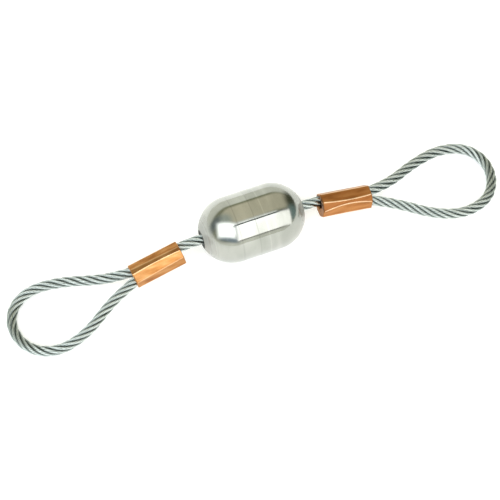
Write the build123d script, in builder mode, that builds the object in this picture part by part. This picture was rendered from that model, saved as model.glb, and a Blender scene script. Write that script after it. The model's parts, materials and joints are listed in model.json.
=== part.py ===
from build123d import *

import os
from math import asin, cos, degrees, pi, radians, sin, tan

# A capsule-shaped bead slides on a short steel wire rope that ends in a pressed eye on each side.
# The strop lies as it rests on a table: the bead's barrel and the tips of both eyes touch z = 0.
# +X runs along the bead from the left eye to the right eye, and +Z is up. The origin is at table
# height under the middle of the whole strop's outline, so the rope's line stands a little to +Y.
# Left is -X and right is +X. Units are millimetres.

os.makedirs("parts", exist_ok=True)

# Bead: a barrel between two round noses, each with a small turned flat round the bore.
bead_diameter = 32.0
barrel_length = 20.0
nose_flat_diameter = 10.0
bore_diameter = 6.6
bore_chamfer = 0.6

# Wire rope, 7 x 7 construction, as the plain round its strands fill.
rope_diameter = 5.0

# Copper ferrule, pressed to an eight-sided section round both legs of an eye, side by side.
ferrule_length = 26.0
ferrule_width = 11.6
ferrule_height = 11.2
ferrule_corner_cut = 3.3
ferrule_end_chamfer = 0.5
leg_spacing = 5.2
leg_fit = 0.02

# Free rope between the bead's end faces and the ferrules.
left_gap = 11.2
right_gap = 8.8

# Each eye flexes where its ferrule lets go of the rope. The flex point is just outside the ferrule,
# and the rope's tubes stop short of it on both sides, so that they don't cut into each other.
flex_point_to_ferrule = 1.6
flex_clearance = 0.6

# How the eyes lie: each turns a little towards -Y, and droops until its tip rests on the table.
left_yaw = 5.7
right_yaw = 3.4

# Distance from the table origin to the rope's line, across the bead.
rope_line_y = 6.2

# Routes of the two eyes, in the plane of each eye: distance outward from the flex point, and
# distance to the side of the standing leg. Both start with the standing leg in its ferrule, go
# round the eye, and end with the dead end inside the ferrule.
dead_leg = -leg_spacing
left_route = [
    (flex_clearance, 0.0),
    (27.5, 0.0),
    (41.0, 3.4),
    (58.0, 12.6),
    (73.0, 16.6),
    (83.6, 12.9),
    (88.9, 3.6),
    (87.7, -7.6),
    (81.2, -15.8),
    (71.0, -19.6),
    (57.5, -17.3),
    (42.5, -9.4),
    (28.0, dead_leg),
    (3.0, dead_leg),
]
right_route = [
    (flex_clearance, 0.0),
    (27.5, 0.0),
    (40.0, 3.0),
    (55.0, 10.9),
    (69.0, 15.6),
    (82.0, 14.6),
    (89.6, 7.6),
    (91.4, -3.2),
    (86.6, -14.0),
    (78.0, -19.8),
    (66.5, -22.0),
    (53.5, -18.4),
    (40.5, -10.6),
    (28.0, dead_leg),
    (3.0, dead_leg),
]

bead_radius = bead_diameter / 2
nose_flat_radius = nose_flat_diameter / 2
bore_radius = bore_diameter / 2
rope_radius = rope_diameter / 2
nose_angle = degrees(asin(nose_flat_radius / bead_radius))
bead_half_length = barrel_length / 2 + bead_radius * cos(radians(nose_angle))
left_flex_x = -(bead_half_length + left_gap - flex_point_to_ferrule)
right_flex_x = bead_half_length + right_gap - flex_point_to_ferrule


def arc_radii(route):
    """Arc radius at each corner of a route: 0.45 of its shorter run over the tangent of half its turn."""
    points = [Vector(*point) for point in route]
    radii = []
    for before, corner, after in zip(points, points[1:], points[2:]):
        run_in = corner - before
        run_out = after - corner
        turn = radians(run_in.get_angle(run_out))
        radii.append(0.45 * min(run_in.length, run_out.length) / tan(turn / 2))
    return radii


def eye_plane(flex_x, outward, yaw, route):
    """Plane of one eye: x outward along the ferrule, y level and towards +Y, origin at the flex point."""
    reach = max(along for along, across in route)
    droop = asin((bead_radius - rope_radius) / reach)
    along = Vector(
        outward * cos(droop) * cos(radians(yaw)),
        -cos(droop) * sin(radians(yaw)),
        -sin(droop),
    )
    across = Vector(outward * sin(radians(yaw)), cos(radians(yaw)), 0)
    return Plane(origin=(flex_x, rope_line_y, bead_radius), x_dir=along, z_dir=along.cross(across))


def eye_rope(plane, route):
    """One end of the rope: standing leg, eye and dead end, as a round tube along its route."""
    with BuildPart() as rope:
        with BuildLine(plane) as line:
            path = FilletPolyline(*route, radius=arc_radii(route))
        with BuildSketch(Plane(origin=line.line @ 0, z_dir=line.line % 0)):
            Circle(rope_radius)
        sweep()
    expected_volume = pi * rope_radius**2 * path.length
    print(f"rope length {path.length:.1f}, volume {rope.part.volume:.0f} for {expected_volume:.0f}")
    print("arc radii", [round(radius, 1) for radius in arc_radii(route)])
    return rope


def pressed_ferrule(plane):
    """Copper sleeve pressed round both legs, with one oblong channel for the pair."""
    middle = plane.from_local_coords(Vector(flex_point_to_ferrule, -leg_spacing / 2, 0))
    section = Plane(origin=middle, x_dir=plane.y_dir, z_dir=plane.x_dir)
    with BuildPart() as ferrule:
        with BuildSketch(section):
            outline = Rectangle(ferrule_width, ferrule_height)
            chamfer(outline.vertices(), ferrule_corner_cut)
        extrude(amount=ferrule_length)
        end_faces = ferrule.faces().filter_by(Axis(middle, plane.x_dir))
        chamfer(end_faces.edges(), ferrule_end_chamfer)
        with BuildSketch(section):
            SlotCenterToCenter(leg_spacing, rope_diameter + 2 * leg_fit)
        extrude(amount=ferrule_length, mode=Mode.SUBTRACT)
    return ferrule


# Bead, turned round the rope's line.
bead_middle = (0, rope_line_y, bead_radius)
with BuildPart() as bead:
    with BuildSketch(Plane(origin=bead_middle, x_dir=(1, 0, 0), z_dir=(0, -1, 0))):
        with BuildLine():
            half_barrel = barrel_length / 2
            right_nose = CenterArc((half_barrel, 0), bead_radius, nose_angle, 90 - nose_angle)
            left_nose = CenterArc((-half_barrel, 0), bead_radius, 90, 90 - nose_angle)
            Line(right_nose @ 1, left_nose @ 0)
            Polyline(
                left_nose @ 1,
                (-bead_half_length, bore_radius),
                (bead_half_length, bore_radius),
                right_nose @ 0,
            )
        make_face()
    revolve(axis=Axis(bead_middle, (1, 0, 0)))
    bore_rims = bead.edges().filter_by(GeomType.CIRCLE).sort_by(SortBy.RADIUS)[0:2]
    chamfer(bore_rims, bore_chamfer)
bead.part.label = "bead"
export_step(bead.part, "parts/bead.step")

# Straight middle of the rope, through the bead from one flex point to the other.
centre_start = left_flex_x + flex_clearance
centre_end = right_flex_x - flex_clearance
with BuildPart() as centre_rope:
    with BuildSketch(Plane(origin=(centre_start, rope_line_y, bead_radius), z_dir=(1, 0, 0))):
        Circle(rope_radius)
    extrude(amount=centre_end - centre_start)
centre_rope.part.label = "centre_rope"
export_step(centre_rope.part, "parts/centre_rope.step")

# The two ends: each a ferrule with its stretch of rope.
left_plane = eye_plane(left_flex_x, -1, left_yaw, left_route)
right_plane = eye_plane(right_flex_x, 1, right_yaw, right_route)
for side, plane, route in (("left", left_plane, left_route), ("right", right_plane, right_route)):
    rope = eye_rope(plane, route)
    rope.part.label = f"{side}_rope"
    export_step(rope.part, f"parts/{side}_rope.step")
    ferrule = pressed_ferrule(plane)
    ferrule.part.label = f"{side}_ferrule"
    export_step(ferrule.part, f"parts/{side}_ferrule.step")
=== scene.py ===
"""Looks of a wire strop: a polished capsule bead on a twisted wire rope, with a copper ferrule and an
eye at each end."""

import json
import math

import bmesh
import bpy
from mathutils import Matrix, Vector
from mathutils.kdtree import KDTree


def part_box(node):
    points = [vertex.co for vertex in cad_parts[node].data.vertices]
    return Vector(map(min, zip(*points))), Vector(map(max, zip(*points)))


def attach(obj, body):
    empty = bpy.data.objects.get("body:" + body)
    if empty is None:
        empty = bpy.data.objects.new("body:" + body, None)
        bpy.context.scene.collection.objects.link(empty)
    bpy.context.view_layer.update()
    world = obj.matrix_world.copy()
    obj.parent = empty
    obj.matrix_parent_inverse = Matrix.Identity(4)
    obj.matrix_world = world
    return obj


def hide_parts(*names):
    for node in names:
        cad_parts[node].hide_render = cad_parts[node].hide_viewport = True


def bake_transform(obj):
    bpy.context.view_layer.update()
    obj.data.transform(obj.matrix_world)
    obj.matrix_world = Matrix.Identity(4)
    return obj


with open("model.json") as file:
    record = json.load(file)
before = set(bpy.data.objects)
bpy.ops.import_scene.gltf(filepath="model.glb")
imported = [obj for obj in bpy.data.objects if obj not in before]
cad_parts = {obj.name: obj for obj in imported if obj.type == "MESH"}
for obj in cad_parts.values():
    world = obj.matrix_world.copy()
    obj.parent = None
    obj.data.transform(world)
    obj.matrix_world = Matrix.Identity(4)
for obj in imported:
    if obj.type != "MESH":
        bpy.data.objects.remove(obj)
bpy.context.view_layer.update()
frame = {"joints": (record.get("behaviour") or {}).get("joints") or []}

MM = 0.001

# ---------------------------------------------------------------- sizes, in metres
bead_low, bead_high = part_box("bead")
bead_middle = (bead_low + bead_high) / 2
bead_radius = (bead_high.z - bead_low.z) / 2
bead_half_length = (bead_high.x - bead_low.x) / 2
barrel_half_length = 10 * MM
nose_flat_radius = 5 * MM
bore_radius = 3.3 * MM
mouth_flare = 1.3 * MM  # how far the bore's mouths are countersunk, sideways and inward
shaded_mouth_radius = 4.6 * MM  # the zone round each mouth that is painted with shade

rope_low, rope_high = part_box("centre_rope")
rope_radius = (rope_high.z - rope_low.z) / 2
rope_lay = 31 * MM  # length in which a strand goes once round the rope
wire_lay = 13 * MM  # length in which a wire goes once round its strand
frame_step = 0.85 * MM

leg_spacing = 5.2 * MM
ferrule_corner_radius = 5.95 * MM
rim_round = 0.5 * MM

# Places inside the ferrule, outward from the flex point.
piece_joint = 9 * MM  # where the stretch from the bead meets the eye's stretch
dead_end = 3 * MM
straight_end = 26.2 * MM  # the legs run straight up to here

joints = {joint["name"]: joint for joint in frame["joints"]}

# Routes of the two eyes in the plane of each eye: outward from the flex point, and to the side
# of the standing leg. They start and end inside the ferrule.
left_route = [
    (piece_joint, 0.0),
    (straight_end, 0.0),
    (0.0275, 0.0),
    (0.0410, 0.0034),
    (0.0580, 0.0126),
    (0.0730, 0.0166),
    (0.0836, 0.0129),
    (0.0889, 0.0036),
    (0.0877, -0.0076),
    (0.0812, -0.0158),
    (0.0710, -0.0196),
    (0.0575, -0.0173),
    (0.0425, -0.0094),
    (0.0280, -leg_spacing),
    (straight_end, -leg_spacing),
    (dead_end, -leg_spacing),
]
right_route = [
    (piece_joint, 0.0),
    (straight_end, 0.0),
    (0.0275, 0.0),
    (0.0400, 0.0030),
    (0.0550, 0.0109),
    (0.0690, 0.0156),
    (0.0820, 0.0146),
    (0.0896, 0.0076),
    (0.0914, -0.0032),
    (0.0866, -0.0140),
    (0.0780, -0.0198),
    (0.0665, -0.0220),
    (0.0535, -0.0184),
    (0.0405, -0.0106),
    (0.0280, -leg_spacing),
    (straight_end, -leg_spacing),
    (dead_end, -leg_spacing),
]


class Eye:
    """The plane of one eye: along the ferrule, across it and up, from the point where the rope flexes.
    outward: 1 towards +X or -1 towards -X. yaw: its turn towards -Y. It droops until its tip is down."""

    def __init__(self, side, outward, yaw, route, ferrule_start, ferrule_end):
        self.side = side
        self.body = f"{side}_eye"
        self.origin = Vector(joints[f"{side}_flex"]["pos_m"])
        self.route = route
        self.ferrule_start = ferrule_start
        self.ferrule_end = ferrule_end
        reach = max(point[0] for point in route)
        droop = math.asin((bead_radius - rope_radius) / reach)
        self.along = Vector(
            (
                outward * math.cos(droop) * math.cos(yaw),
                -math.cos(droop) * math.sin(yaw),
                -math.sin(droop),
            )
        )
        self.across = Vector((outward * math.sin(yaw), math.cos(yaw), 0))
        self.up = self.along.cross(self.across) * outward

    def place(self, along, across=0.0, up=0.0):
        """A point of this plane, in the part's frame."""
        return self.origin + self.along * along + self.across * across + self.up * up


left = Eye("left", -1, math.radians(5.7), left_route, 2.2 * MM, 27.6 * MM)
right = Eye("right", 1, math.radians(3.4), right_route, 1.6 * MM, 26.6 * MM)


# ---------------------------------------------------------------- camera
def add_camera():
    """Looks down at the strop from in front of it, a little from the left."""
    azimuth = math.radians(-21.04)
    elevation = math.radians(60)
    aim = bead_middle + Vector((-5.2, -11.5, -4.0)) * MM
    distance = 0.9844
    toward_camera = Vector(
        (
            math.sin(azimuth) * math.cos(elevation),
            -math.cos(azimuth) * math.cos(elevation),
            math.sin(elevation),
        )
    )
    camera = bpy.data.objects.new("camera", bpy.data.cameras.new("camera"))
    camera.data.lens = 150
    camera.data.sensor_width = 36
    camera.data.clip_end = 20
    camera.location = aim + toward_camera * distance
    camera.rotation_mode = "QUATERNION"
    camera.rotation_quaternion = (-toward_camera).to_track_quat("-Z", "Y")
    bpy.context.scene.collection.objects.link(camera)
    bpy.context.scene.camera = camera


# ---------------------------------------------------------------- mesh helpers
def add_piece(name, mesh, material):
    """An object at the origin with one material."""
    piece = bpy.data.objects.new(name, mesh)
    bpy.context.scene.collection.objects.link(piece)
    mesh.materials.clear()
    mesh.materials.append(material)
    return piece


def finished_mesh(name, work):
    """Turns a bmesh into a mesh with outward normals and smooth shading."""
    bmesh.ops.remove_doubles(work, verts=work.verts, dist=1e-7)
    bmesh.ops.recalc_face_normals(work, faces=work.faces)
    mesh = bpy.data.meshes.new(name)
    work.to_mesh(mesh)
    work.free()
    mesh.shade_smooth()
    return mesh


def level_faces(mesh, name, level):
    """Stores a value on every face for a material to read."""
    values = [level(face) for face in mesh.polygons]
    mesh.attributes.new(name, "FLOAT", "FACE").data.foreach_set("value", values)


# ---------------------------------------------------------------- wire rope
def smooth_line(control_points):
    """Points along the NURBS spline that has a route's points as its control points."""
    curve = bpy.data.curves.new("route", "CURVE")
    curve.dimensions = "3D"
    curve.resolution_u = 32
    spline = curve.splines.new("NURBS")
    spline.points.add(len(control_points) - 1)
    for control, point in zip(spline.points, control_points):
        control.co = (*point, 1.0)
    spline.order_u = 3
    spline.use_endpoint_u = True
    holder = bpy.data.objects.new("route", curve)
    mesh = bpy.data.meshes.new_from_object(holder)
    line = [vertex.co.copy() for vertex in mesh.vertices]
    bpy.data.objects.remove(holder)
    bpy.data.curves.remove(curve)
    bpy.data.meshes.remove(mesh)
    return line


def line_length(line):
    """The length of a line of points."""
    return sum((b - a).length for a, b in zip(line, line[1:]))


def even_frames(line, step):
    """Distance, point, tangent and two normals at even steps along a line, without added twist."""
    count = round(line_length(line) / step)
    step = line_length(line) / count
    frames = []
    normal = None
    done = 0.0
    target = 0.0
    for a, b in zip(line, line[1:]):
        span = (b - a).length
        tangent = (b - a).normalized()
        if normal is None:
            normal = tangent.cross(Vector((0, 0, 1))).normalized()
        normal = (normal - tangent * normal.dot(tangent)).normalized()
        while target <= done + span + 1e-9 and len(frames) <= count:
            point = a + tangent * (target - done)
            frames.append((target, point, tangent.copy(), normal.copy(), tangent.cross(normal)))
            target += step
        done += span
    return frames


def wire_lines(frames):
    """Centrelines of the outer wires: six strands round the core, six wires round each strand."""
    strand_radius = rope_radius / 3
    strand_circle = 2 * strand_radius
    wire_circle = strand_radius * 2 / 3
    lines = []
    for strand in range(6):
        for wire in range(6):
            points = []
            for distance, point, tangent, normal, side in frames:
                turn = math.tau * (distance / rope_lay + strand / 6)
                outward = normal * math.cos(turn) + side * math.sin(turn)
                round_rope = side * math.cos(turn) - normal * math.sin(turn)
                heading = tangent + round_rope * strand_circle * math.tau / rope_lay
                beside = heading.normalized().cross(outward)
                spin = math.tau * (wire / 6 - distance / wire_lay)
                centre = point + outward * strand_circle
                points.append(centre + (outward * math.cos(spin) + beside * math.sin(spin)) * wire_circle)
            lines.append(points)
    return lines


def tube_mesh(name, lines, radius):
    """A mesh of round wires along the given lines."""
    curve = bpy.data.curves.new(name, "CURVE")
    curve.dimensions = "3D"
    curve.bevel_depth = radius
    curve.bevel_resolution = 2
    curve.use_fill_caps = True
    for line in lines:
        spline = curve.splines.new("POLY")
        spline.points.add(len(line) - 1)
        for control, point in zip(spline.points, line):
            control.co = (*point, 1.0)
    holder = bpy.data.objects.new(name, curve)
    mesh = bpy.data.meshes.new_from_object(holder)
    mesh.name = name
    bpy.data.objects.remove(holder)
    bpy.data.curves.remove(curve)
    return mesh


def mark_crowns(mesh, frames):
    """Stores how far out each point lies on the rope, for the painted shade in the valleys: 1 at its
    outside, less in the valleys.
    """
    tree = KDTree(len(frames))
    for index, frame_here in enumerate(frames):
        tree.insert(frame_here[1], index)
    tree.balance()
    levels = []
    for vertex in mesh.vertices:
        point, index, _ = tree.find(vertex.co)
        tangent = frames[index][2]
        offset = vertex.co - point
        levels.append((offset - tangent * offset.dot(tangent)).length / rope_radius)
    crown = mesh.attributes.new("crown", "FLOAT", "POINT")
    crown.data.foreach_set("value", levels)


def rope_piece(name, control_points, material):
    """One stretch of the rope: 36 wires in six strands round a core, along its route."""
    line = smooth_line(control_points)
    frames = even_frames(line, frame_step)
    core_radius = rope_radius / 3
    wire_radius = rope_radius / 9
    wires = tube_mesh(name, wire_lines(frames), wire_radius)
    core = tube_mesh("core", [[frame_here[1] for frame_here in frames]], core_radius)
    work = bmesh.new()
    work.from_mesh(wires)
    work.from_mesh(core)
    work.to_mesh(wires)
    work.free()
    bpy.data.meshes.remove(core)
    wires.shade_smooth()
    mark_crowns(wires, frames)
    piece = add_piece(name, wires, material)
    return piece, line


def add_leg(eye, material):
    """The rope from the middle of the bead to inside the ferrule. It bends at the flex point."""
    bead_centre = Vector((0.0, eye.origin.y, eye.origin.z))
    before_flex = eye.origin.lerp(bead_centre, 0.32)
    points = [bead_centre, before_flex, eye.origin, eye.place(piece_joint)]
    piece, line = rope_piece(f"{eye.side}_leg_strands", points, material)
    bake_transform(piece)
    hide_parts("centre_rope")


def add_eye_rope(eye, material):
    """The rope from inside the ferrule, round the eye, and back to its dead end in the ferrule."""
    points = [eye.place(along, across) for along, across in eye.route]
    piece, line = rope_piece(f"{eye.side}_eye_strands", points, material)
    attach(piece, eye.body)
    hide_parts(f"{eye.side}_rope")


# ---------------------------------------------------------------- bead
def bead_profile():
    """Outline of the bead's right half, from the bore to the barrel: (along, radius) pairs."""
    nose_start = math.asin(nose_flat_radius / bead_radius)
    right_half = [
        (bead_half_length - 4 * mouth_flare, bore_radius),
        (bead_half_length - mouth_flare, bore_radius),
        (bead_half_length - 0.1 * mouth_flare, bore_radius + 0.9 * mouth_flare),
        (bead_half_length, bore_radius + mouth_flare),
        (bead_half_length - 0.02 * MM, nose_flat_radius - 0.15 * MM),
    ]
    steps = 30
    for step in range(steps + 1):
        angle = nose_start + (math.pi / 2 - nose_start) * step / steps
        right_half.append(
            (
                barrel_half_length + bead_radius * math.cos(angle),
                bead_radius * math.sin(angle),
            )
        )
    return right_half


def add_bead(material):
    """The bead's outline, spun round its bore."""
    right_half = bead_profile()
    left_half = [(-along, radius) for along, radius in reversed(right_half)]
    # Fine turning lines, in mm: place along the barrel, and depth. Points beside each keep the rest flat.
    turning_lines = [(4.0, 0.004), (-0.9, 0.02), (-9.4, 0.02)]
    grooves = []
    for place, depth in turning_lines:
        for offset, cut in ((0.16, 0), (0.12, 0), (0, depth), (-0.12, 0), (-0.16, 0)):
            grooves.append(((place + offset) * MM, bead_radius - cut * MM))
    outline = right_half + grooves + left_half
    work = bmesh.new()
    corners = [
        work.verts.new((bead_middle.x + along, bead_middle.y, bead_middle.z + radius))
        for along, radius in outline
    ]
    edges = [work.edges.new(pair) for pair in zip(corners, corners[1:])]
    edges.append(work.edges.new((corners[-1], corners[0])))
    bmesh.ops.spin(
        work,
        geom=corners + edges,
        cent=bead_middle,
        axis=(1, 0, 0),
        angle=math.tau,
        steps=160,
        use_merge=True,
    )
    piece = add_piece("turned_bead", finished_mesh("turned_bead", work), material)
    piece.data.set_sharp_from_angle(angle=math.radians(25))

    def in_shaded_mouth(face):
        """1 in the bore and the zone round it, where shade is painted; 0 elsewhere."""
        return float((face.center - bead_middle).yz.length < shaded_mouth_radius)

    level_faces(piece.data, "bore", in_shaded_mouth)
    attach(piece, "bead")
    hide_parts("bead")


# ---------------------------------------------------------------- ferrules
def crease_angle(crease, share):
    """Angle of a crease, in degrees, at a share of the ferrule's length from the bead's end."""
    first, waist, last = crease
    bow = (waist - (first + last) / 2) * 4 * share * (1 - share)
    return first + (last - first) * share + bow


def add_ferrule(eye, creases, painted_flat_shades, material):
    """Copper sleeve pressed to flats. creases: angle of each corner from straight up towards -Y, in
    degrees, at the bead's end, in the middle and at the eye's end. tones: painted shade of the flat after
    each crease, how light it is painted for the way the light falls on it."""
    sections = 14
    middle = -leg_spacing / 2
    first_flat = eye.ferrule_start + rim_round
    last_flat = eye.ferrule_end - rim_round
    work = bmesh.new()
    ring = bmesh.ops.create_circle(work, segments=len(creases), radius=ferrule_corner_radius)["verts"]
    rings = [ring]
    for _ in range(sections):
        rim = dict.fromkeys(
            edge for vertex in ring for edge in vertex.link_edges if edge.other_vert(vertex) in ring
        )
        made = bmesh.ops.extrude_edge_only(work, edges=list(rim))["geom"]
        new = {item for item in made if isinstance(item, bmesh.types.BMVert)}
        ring = [next_vertex(vertex, new) for vertex in ring]
        rings.append(ring)
    for index, ring in enumerate(rings):
        share = index / sections
        along = first_flat + (last_flat - first_flat) * share
        for vertex, crease in zip(ring, creases):
            angle = math.radians(crease_angle(crease, share))
            vertex.co = eye.place(
                along,
                middle - ferrule_corner_radius * math.sin(angle),
                ferrule_corner_radius * math.cos(angle),
            )
    long_edges = [
        edge
        for edge in work.edges
        if abs((edge.verts[0].co - edge.verts[1].co).normalized().dot(eye.along)) > 0.8
    ]
    # Bevelled at a thousand times its size, where the tool's own tolerances do not matter.
    crease_width_mm = 0.27
    bmesh.ops.scale(work, vec=(1 / MM,) * 3, verts=work.verts)
    bmesh.ops.bevel(
        work,
        geom=long_edges,
        offset=crease_width_mm,
        offset_type="OFFSET",
        segments=3,
        profile=0.5,
        affect="EDGES",
        material=-1,
    )
    bmesh.ops.scale(work, vec=(MM,) * 3, verts=work.verts)
    # At the bead's end the sleeve is closed down on the one leg that leaves it.
    for end, inward, opened in ((first_flat, 1, 0.3), (last_flat, -1, 1.0)):
        rim = [
            edge
            for edge in work.edges
            if edge.is_boundary and abs((edge.verts[0].co - eye.origin).dot(eye.along) - end) < 1e-5
        ]
        close_ferrule_end(work, eye, rim, end, inward, opened)
    piece = add_piece(f"{eye.side}_pressed_ferrule", finished_mesh("ferrule", work), material)
    piece.data.set_sharp_from_angle(angle=math.radians(7))

    def share_along(face):
        """How far along the flats a face lies: 0 at the bead's end, 1 at the eye's."""
        return ((face.center - eye.origin).dot(eye.along) - first_flat) / (last_flat - first_flat)

    def painted_flat_shade(face):
        """The painted shade of the flat that a face lies on."""
        place = face.center - eye.origin
        share = share_along(face)
        angle = math.degrees(math.atan2(middle - place.dot(eye.across), place.dot(eye.up)))
        if angle < creases[0][0]:
            angle += 360
        passed = sum(1 for crease in creases if crease_angle(crease, share) <= angle)
        return painted_flat_shades[passed - 1]

    def crease_highlight(face):
        """Where the painted highlight goes: 1 on the narrow faces of the creases, 0 on the flats and the
        rims.
        """
        largest_crease_face = 1.2 * MM * MM
        return float(face.area < largest_crease_face and 0 < share_along(face) < 1)

    level_faces(piece.data, "painted_flat_shade", painted_flat_shade)
    level_faces(piece.data, "crease_highlight", crease_highlight)
    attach(piece, eye.body)
    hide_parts(f"{eye.side}_ferrule")


def next_vertex(vertex, made):
    """The vertex just extruded from another."""
    for edge in vertex.link_edges:
        other = edge.other_vert(vertex)
        if other in made:
            return other


def close_ferrule_end(work, eye, rim, along, inward, opened):
    """Rounds one end of the sleeve over to the channel that holds the two legs, and runs it inward.
    opened: how much of the way from the standing leg to the dead one the mouth reaches."""
    stages = [
        # in mm from the end of the flats: distance inward, and rounding of the rim; then the share of the
        # way to the channel, and how much wider than the rope the channel is, in mm
        (-0.25, 0.06, 0.0, 0.0),
        (-0.43, 0.22, 0.0, 0.0),
        (-0.50, 0.48, 0.0, 0.0),
        (-0.38, 0.48, 0.80, 0.20),
        (0.0, 0.48, 1.0, 0.10),
        (0.6, 0.48, 1.0, 0.04),
        (1.2, 0.48, 1.0, 0.02),
        (5.0, 0.48, 1.0, 0.0),
    ]
    middle = -leg_spacing / 2
    outside = {}
    for vertex in {vertex for edge in rim for vertex in edge.verts}:
        place = vertex.co - eye.origin
        outside[vertex] = (place.dot(eye.across) - middle, place.dot(eye.up))
    current = {vertex: vertex for vertex in outside}
    edges = rim
    for depth, rounding, share, growth in stages:
        made = bmesh.ops.extrude_edge_only(work, edges=edges)["geom"]
        edges = [item for item in made if isinstance(item, bmesh.types.BMEdge)]
        new = {item for item in made if isinstance(item, bmesh.types.BMVert)}
        edges = [edge for edge in edges if edge.verts[0] in new and edge.verts[1] in new]
        follow = {first: next_vertex(old, new) for first, old in current.items()}
        for first, vertex in follow.items():
            across, up = outside[first]
            angle = math.atan2(up, across)
            kept = 1 - rounding * MM / math.hypot(across, up)
            across *= kept
            up *= kept
            radius = rope_radius + growth * MM
            reach = leg_spacing * (opened if depth < 1 else 1.0)
            hole_across = radius * math.cos(angle) + leg_spacing / 2 - (0 if across > 0 else reach)
            hole_up = radius * math.sin(angle)
            vertex.co = eye.place(
                along + inward * depth * MM,
                middle + across + (hole_across - across) * share,
                up + (hole_up - up) * share,
            )
        current = follow


# ---------------------------------------------------------------- materials
def new_material(name):
    """A material, with its nodes and links."""
    material = bpy.data.materials.new(name)
    material.use_nodes = True
    return material, material.node_tree.nodes, material.node_tree.links


def object_noise(nodes, links, stretch, scale, detail):
    """A noise pattern on Object coordinates, stretched along the piece's axes."""
    coordinate = nodes.new("ShaderNodeTexCoord")
    mapping = nodes.new("ShaderNodeMapping")
    mapping.inputs["Scale"].default_value = stretch
    noise = nodes.new("ShaderNodeTexNoise")
    noise.inputs["Scale"].default_value = scale
    noise.inputs["Detail"].default_value = detail
    links.new(coordinate.outputs["Object"], mapping.inputs["Vector"])
    links.new(mapping.outputs["Vector"], noise.inputs["Vector"])
    return noise.outputs["Fac"]


def stored_value(nodes, name):
    """The value that a piece's faces or points carry under this name."""
    attribute = nodes.new("ShaderNodeAttribute")
    attribute.attribute_name = name
    return attribute.outputs["Fac"]


def colour_ramp(nodes, links, source, stops):
    """Colours at the given places of a pattern, blended between them."""
    ramp = nodes.new("ShaderNodeValToRGB")
    ramp.color_ramp.elements[0].position = stops[0][0]
    ramp.color_ramp.elements[0].color = stops[0][1]
    ramp.color_ramp.elements[1].position = stops[-1][0]
    ramp.color_ramp.elements[1].color = stops[-1][1]
    for position, colour in stops[1:-1]:
        ramp.color_ramp.elements.new(position).color = colour
    links.new(source, ramp.inputs["Fac"])
    return ramp.outputs["Color"]


def value_range(nodes, links, source, low, high):
    """A pattern spread between two values."""
    spread = nodes.new("ShaderNodeMapRange")
    spread.inputs["To Min"].default_value = low
    spread.inputs["To Max"].default_value = high
    links.new(source, spread.inputs["Value"])
    return spread.outputs["Result"]


def product(nodes, links, first, second):
    """Two values multiplied."""
    result = nodes.new("ShaderNodeMath")
    result.operation = "MULTIPLY"
    links.new(first, result.inputs[0])
    links.new(second, result.inputs[1])
    return result.outputs["Value"]


def mix_colours(nodes, links, factor, below, above, blend_type="MIX"):
    """Lays one colour over another. The factor and the colours are sockets or plain values."""
    factor_socket, below_socket, above_socket, result_socket = 0, 6, 7, 2
    mix = nodes.new("ShaderNodeMix")
    mix.data_type = "RGBA"
    mix.blend_type = blend_type
    for index, value in ((factor_socket, factor), (below_socket, below), (above_socket, above)):
        if isinstance(value, bpy.types.NodeSocket):
            links.new(value, mix.inputs[index])
        else:
            mix.inputs[index].default_value = value
    return mix.outputs[result_socket]


def bump_from(nodes, links, shader, source, strength, distance):
    """Fine relief from a pattern."""
    bump = nodes.new("ShaderNodeBump")
    bump.inputs["Strength"].default_value = strength
    bump.inputs["Distance"].default_value = distance
    links.new(source, bump.inputs["Height"])
    links.new(bump.outputs["Normal"], shader.inputs["Normal"])


def along_bead(nodes, links, stops):
    """A colour ramp along the bead. stops: place from its middle in mm, and grey level."""
    coordinate = nodes.new("ShaderNodeTexCoord")
    parts = nodes.new("ShaderNodeSeparateXYZ")
    links.new(coordinate.outputs["Object"], parts.inputs["Vector"])
    share = nodes.new("ShaderNodeMapRange")
    share.inputs["From Min"].default_value = bead_low.x
    share.inputs["From Max"].default_value = bead_high.x
    links.new(parts.outputs["X"], share.inputs["Value"])
    ramp = nodes.new("ShaderNodeValToRGB")
    elements = ramp.color_ramp.elements
    while len(elements) < len(stops):
        elements.new(0.5)
    for element, (place, level) in zip(elements, stops):
        element.position = (place * MM + bead_half_length) / (2 * bead_half_length)
        element.color = (level, level, level, 1)
    links.new(share.outputs["Result"], ramp.inputs["Fac"])
    return ramp.outputs["Color"]


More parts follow.
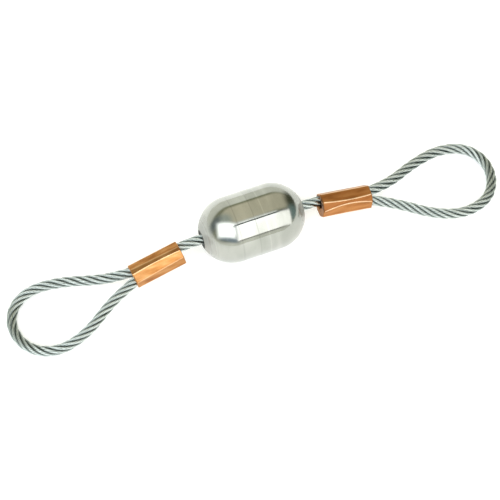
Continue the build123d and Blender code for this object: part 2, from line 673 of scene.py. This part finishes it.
def turned_aluminium():
    """Turned and polished: a bright barrel with tool lines, partly painted as reflections, hazier noses
    and painted shade in the mouths of the bore.
    """
    material, nodes, links = new_material("turned_aluminium")
    shader = nodes["Principled BSDF"]
    # Grey level along the bead, in mm from its middle. The turning lines at -9.4, -1.0 and 4.0 mm are
    # darker and lighter lines: partly the tool marks, partly painted reflections. The level is lower
    # towards the noses.
    tool_lines_and_painted_reflections = [
        (-25.2, 0.78),
        (-23.4, 0.80),
        (-20.8, 0.92),
        (-10.0, 0.97),
        (-9.7, 0.94),
        (-9.4, 0.80),
        (-9.1, 0.95),
        (-5.0, 1.04),
        (-1.4, 1.02),
        (-1.0, 0.84),
        (-0.6, 0.96),
        (3.6, 0.95),
        (4.0, 1.10),
        (4.4, 0.95),
        (6.0, 0.92),
        (8.0, 0.98),
        (10.0, 0.90),
        (20.8, 0.90),
        (23.2, 0.82),
        (25.2, 0.80),
    ]
    level = along_bead(nodes, links, tool_lines_and_painted_reflections)
    haze = object_noise(nodes, links, stretch=(1.0, 0.5, 0.5), scale=110, detail=4.0)
    tint = colour_ramp(
        nodes,
        links,
        haze,
        [(0.3, (0.39, 0.40, 0.36, 1)), (0.7, (0.50, 0.505, 0.465, 1))],
    )
    banded = mix_colours(nodes, links, 1.0, tint, level, "MULTIPLY")
    # Painted shade: the bore and the zone round its mouths are coloured almost black, for the shade
    # inside the hole.
    mouth_shade_colour = (0.07, 0.075, 0.07, 1)
    colour = mix_colours(nodes, links, stored_value(nodes, "bore"), banded, mouth_shade_colour)
    links.new(colour, shader.inputs["Base Color"])
    finish = along_bead(
        nodes,
        links,
        [
            (-25.2, 0.5),
            (-23.0, 0.20),
            (-12.0, 0.15),
            (-9.4, 0.08),
            (9.4, 0.08),
            (12.0, 0.15),
            (23.0, 0.20),
            (25.2, 0.5),
        ],
    )
    polish = along_bead(
        nodes,
        links,
        [(-25.2, 0.2), (-23.6, 0.25), (-20.4, 1.0), (20.8, 1.0), (23.2, 0.15), (25.2, 0.15)],
    )
    links.new(polish, shader.inputs["Metallic"])
    rings = object_noise(nodes, links, stretch=(1.0, 0.02, 0.02), scale=1400, detail=2.0)
    uneven = value_range(nodes, links, rings, 0.8, 1.3)
    links.new(product(nodes, links, finish, uneven), shader.inputs["Roughness"])
    bump_from(nodes, links, shader, rings, 0.12, 0.02 * MM)
    return material


def wire_with_painted_valley_shade():
    """Drawn galvanised wire, with painted shade: bright on the outside of the strands, painted darker in
    the valleys between them.
    """
    material, nodes, links = new_material("wire_with_painted_valley_shade")
    shader = nodes["Principled BSDF"]
    shader.inputs["Metallic"].default_value = 1.0
    # Painted shade: the deeper a wire lies in the valleys between the strands, the darker its colour.
    tint = colour_ramp(
        nodes,
        links,
        stored_value(nodes, "crown"),
        [
            (0.60, (0.04, 0.05, 0.045, 1)),
            (0.80, (0.16, 0.19, 0.175, 1)),
            (0.91, (0.40, 0.445, 0.42, 1)),
            (1.0, (0.66, 0.71, 0.68, 1)),
        ],
    )
    links.new(tint, shader.inputs["Base Color"])
    patches = object_noise(nodes, links, stretch=(1.0, 1.0, 1.0), scale=420, detail=4.0)
    rough = value_range(nodes, links, patches, 0.20, 0.36)
    links.new(rough, shader.inputs["Roughness"])
    return material


def pressed_copper(name, tints, edge, smoothest, roughest):
    """Copper with drawn streaks along the sleeve and browner patches, with painted shade flat by flat and
    a painted
    highlight along the creases. tints: dark, usual and light. edge: the colour of the painted highlight
    along the creases."""
    material, nodes, links = new_material(name)
    shader = nodes["Principled BSDF"]
    shader.inputs["Metallic"].default_value = 1.0
    patches = object_noise(nodes, links, stretch=(0.22, 1.0, 1.0), scale=420, detail=5.0)
    tint = colour_ramp(
        nodes,
        links,
        patches,
        [(place, (*colour, 1)) for place, colour in zip((0.25, 0.5, 0.75), tints)],
    )
    # Painted shade: each flat is mixed from this dark copper towards the usual tints by its stored shade.
    fully_shaded_copper = (0.10, 0.035, 0.012, 1)
    shaded_flats = mix_colours(nodes, links, stored_value(nodes, "painted_flat_shade"), fully_shaded_copper, tint)
    # Painted highlight along the creases, uneven with the patches.
    uneven = value_range(nodes, links, patches, 0.2, 1.1)
    crease_highlight_mask = product(nodes, links, stored_value(nodes, "crease_highlight"), uneven)
    with_crease_highlight = mix_colours(nodes, links, crease_highlight_mask, shaded_flats, (*edge, 1))
    links.new(with_crease_highlight, shader.inputs["Base Color"])
    streaks = object_noise(nodes, links, stretch=(0.08, 1.0, 1.0), scale=1500, detail=3.0)
    rough = value_range(nodes, links, streaks, smoothest, roughest)
    links.new(rough, shader.inputs["Roughness"])
    bump_from(nodes, links, shader, streaks, 0.15, 0.04 * MM)
    return material


def pale_floor():
    """A white table, lifted a little so that it reads as pale all over."""
    material, nodes, links = new_material("pale_floor")
    shader = nodes["Principled BSDF"]
    shader.inputs["Base Color"].default_value = (0.90, 0.90, 0.89, 1)
    shader.inputs["Roughness"].default_value = 0.9
    shader.inputs["Emission Color"].default_value = (1, 1, 1, 1)
    shader.inputs["Emission Strength"].default_value = 0.25
    return material


# ---------------------------------------------------------------- floor, light and surroundings
def add_floor():
    """The table, as far as the camera can see."""
    work = bmesh.new()
    bmesh.ops.create_circle(work, cap_ends=True, segments=96, radius=6)
    mesh = bpy.data.meshes.new("floor")
    work.to_mesh(mesh)
    work.free()
    floor = add_piece("floor", mesh, pale_floor())


def sky_chart(nodes, links):
    """Where a direction lies on a chart of the room seen from the bead: degrees from straight up, spread
    towards +X and +Y."""
    coordinate = nodes.new("ShaderNodeTexCoord")
    parts = nodes.new("ShaderNodeSeparateXYZ")
    links.new(coordinate.outputs["Generated"], parts.inputs["Vector"])
    tilt = nodes.new("ShaderNodeMath")
    tilt.operation = "ARCCOSINE"
    links.new(parts.outputs["Z"], tilt.inputs[0])
    degrees = nodes.new("ShaderNodeMath")
    degrees.operation = "DEGREES"
    links.new(tilt.outputs["Value"], degrees.inputs[0])
    level = nodes.new("ShaderNodeVectorMath")
    level.operation = "MULTIPLY"
    level.inputs[1].default_value = (1, 1, 0)
    links.new(coordinate.outputs["Generated"], level.inputs[0])
    heading = nodes.new("ShaderNodeVectorMath")
    heading.operation = "NORMALIZE"
    links.new(level.outputs["Vector"], heading.inputs[0])
    chart = nodes.new("ShaderNodeVectorMath")
    chart.operation = "SCALE"
    links.new(heading.outputs["Vector"], chart.inputs[0])
    links.new(degrees.outputs["Value"], chart.inputs["Scale"])
    return chart


def add_sky_patch(nodes, links, chart, below, shape, centre, half_size, roll, softness, colour):
    """Lays an ellipse or a rectangle of light over what is already on the chart."""
    place = nodes.new("ShaderNodeMapping")
    place.vector_type = "TEXTURE"
    place.inputs["Location"].default_value = (*centre, 0)
    place.inputs["Rotation"].default_value = (0, 0, math.radians(roll))
    place.inputs["Scale"].default_value = (*half_size, 1)
    links.new(chart.outputs["Vector"], place.inputs["Vector"])
    if shape == "ellipse":
        distance = nodes.new("ShaderNodeVectorMath")
        distance.operation = "LENGTH"
        links.new(place.outputs["Vector"], distance.inputs[0])
    else:
        size = nodes.new("ShaderNodeVectorMath")
        size.operation = "ABSOLUTE"
        links.new(place.outputs["Vector"], size.inputs[0])
        sides = nodes.new("ShaderNodeSeparateXYZ")
        links.new(size.outputs["Vector"], sides.inputs["Vector"])
        distance = nodes.new("ShaderNodeMath")
        distance.operation = "MAXIMUM"
        links.new(sides.outputs["X"], distance.inputs[0])
        links.new(sides.outputs["Y"], distance.inputs[1])
    edge = nodes.new("ShaderNodeMapRange")
    edge.interpolation_type = "SMOOTHSTEP"
    edge.inputs["From Min"].default_value = 1 + softness
    edge.inputs["From Max"].default_value = 1 - softness
    links.new(distance.outputs["Value"], edge.inputs["Value"])
    return mix_colours(nodes, links, edge.outputs["Result"], below, (*colour, 1))


def add_surroundings():
    """A pale table and sweep all round, a duller room overhead and two softboxes in front."""
    world = bpy.data.worlds.new("studio")
    world.use_nodes = True
    bpy.context.scene.world = world
    nodes, links = world.node_tree.nodes, world.node_tree.links
    chart = sky_chart(nodes, links)
    table = nodes.new("ShaderNodeRGB")
    table.outputs["Color"].default_value = (1.08, 1.10, 1.0, 1)
    # Shape, centre and half size in degrees on the chart, turn, softness of the edge, and colour.
    patches = [
        ("ellipse", (8, -10), (90, 66), 0, 0.05, (0.31, 0.32, 0.20)),
        ("ellipse", (22, 18), (52, 31), 0, 0.18, (0.90, 0.85, 0.66)),
        ("ellipse", (-26, 8), (28, 26), 0, 0.45, (0.56, 0.63, 0.57)),
        ("ellipse", (80, 22), (28, 40), 0, 0.45, (0.09, 0.10, 0.06)),
        ("ellipse", (76, -22), (24, 26), 0, 0.5, (0.24, 0.36, 0.35)),
        ("ellipse", (-58, 20), (30, 16), 20, 0.5, (0.22, 0.26, 0.27)),
        ("ellipse", (-33, -54), (44, 12), -33, 0.30, (0.26, 0.35, 0.43)),
        ("rectangle", (30, -44), (33, 26.5), 9, 0.06, (2.5, 2.5, 2.5)),
        ("rectangle", (-28, -24), (34, 24), -28, 0.30, (3.3, 3.4, 3.55)),
        ("rectangle", (3, -44), (4, 27), -5, 0.5, (1.55, 1.6, 1.68)),
        ("rectangle", (26, -18.5), (30, 2.3), 9, 0.35, (0.06, 0.08, 0.08)),
        ("rectangle", (33, -72.5), (34, 1.8), 9, 0.5, (0.45, 0.45, 0.42)),
    ]
    colour = table.outputs["Color"]
    for patch in patches:
        colour = add_sky_patch(nodes, links, chart, colour, *patch)
    links.new(colour, nodes["Background"].inputs["Color"])


# ---------------------------------------------------------------- the whole scene
add_camera()
wire = wire_with_painted_valley_shade()
add_leg(left, wire)
add_leg(right, wire)
add_eye_rope(left, wire)
add_eye_rope(right, wire)
add_bead(turned_aluminium())

bright_copper = pressed_copper(
    "bright_copper",
    ((0.31, 0.11, 0.025), (0.53, 0.235, 0.07), (0.72, 0.39, 0.16)),
    (0.80, 0.50, 0.28),
    0.14,
    0.30,
)
dull_copper = pressed_copper(
    "dull_copper",
    ((0.26, 0.095, 0.024), (0.45, 0.185, 0.058), (0.57, 0.27, 0.095)),
    (1.0, 0.74, 0.47),
    0.30,
    0.44,
)
left_creases = [
    (-45, -45, -45),
    (0, -3, -6),
    (19, 15, 19),
    (56, 60, 66),
    (108, 108, 110),
    *[(angle, angle, angle) for angle in (154, 200, 244, 280)],
]
right_creases = [
    (-28, -28, -28),
    (21, 28, 23),
    (66, 47, 59),
    (108, 104, 106),
    *[(angle, angle, angle) for angle in (150, 195, 240, 285)],
]
# How light each flat is painted, one value for the flat after each crease: painted shade and light for
# the way the light falls on it.
left_painted_flat_shades = (0.78, 0.76, 0.84, 0.74, 0.85, 0.9, 0.9, 0.9, 0.72)
right_painted_flat_shades = (0.82, 0.46, 0.93, 0.86, 0.9, 0.9, 0.9, 0.9)
add_ferrule(left, left_creases, left_painted_flat_shades, bright_copper)
add_ferrule(right, right_creases, right_painted_flat_shades, dull_copper)

add_floor()
add_surroundings()
bpy.context.scene.view_settings.view_transform = "Standard"
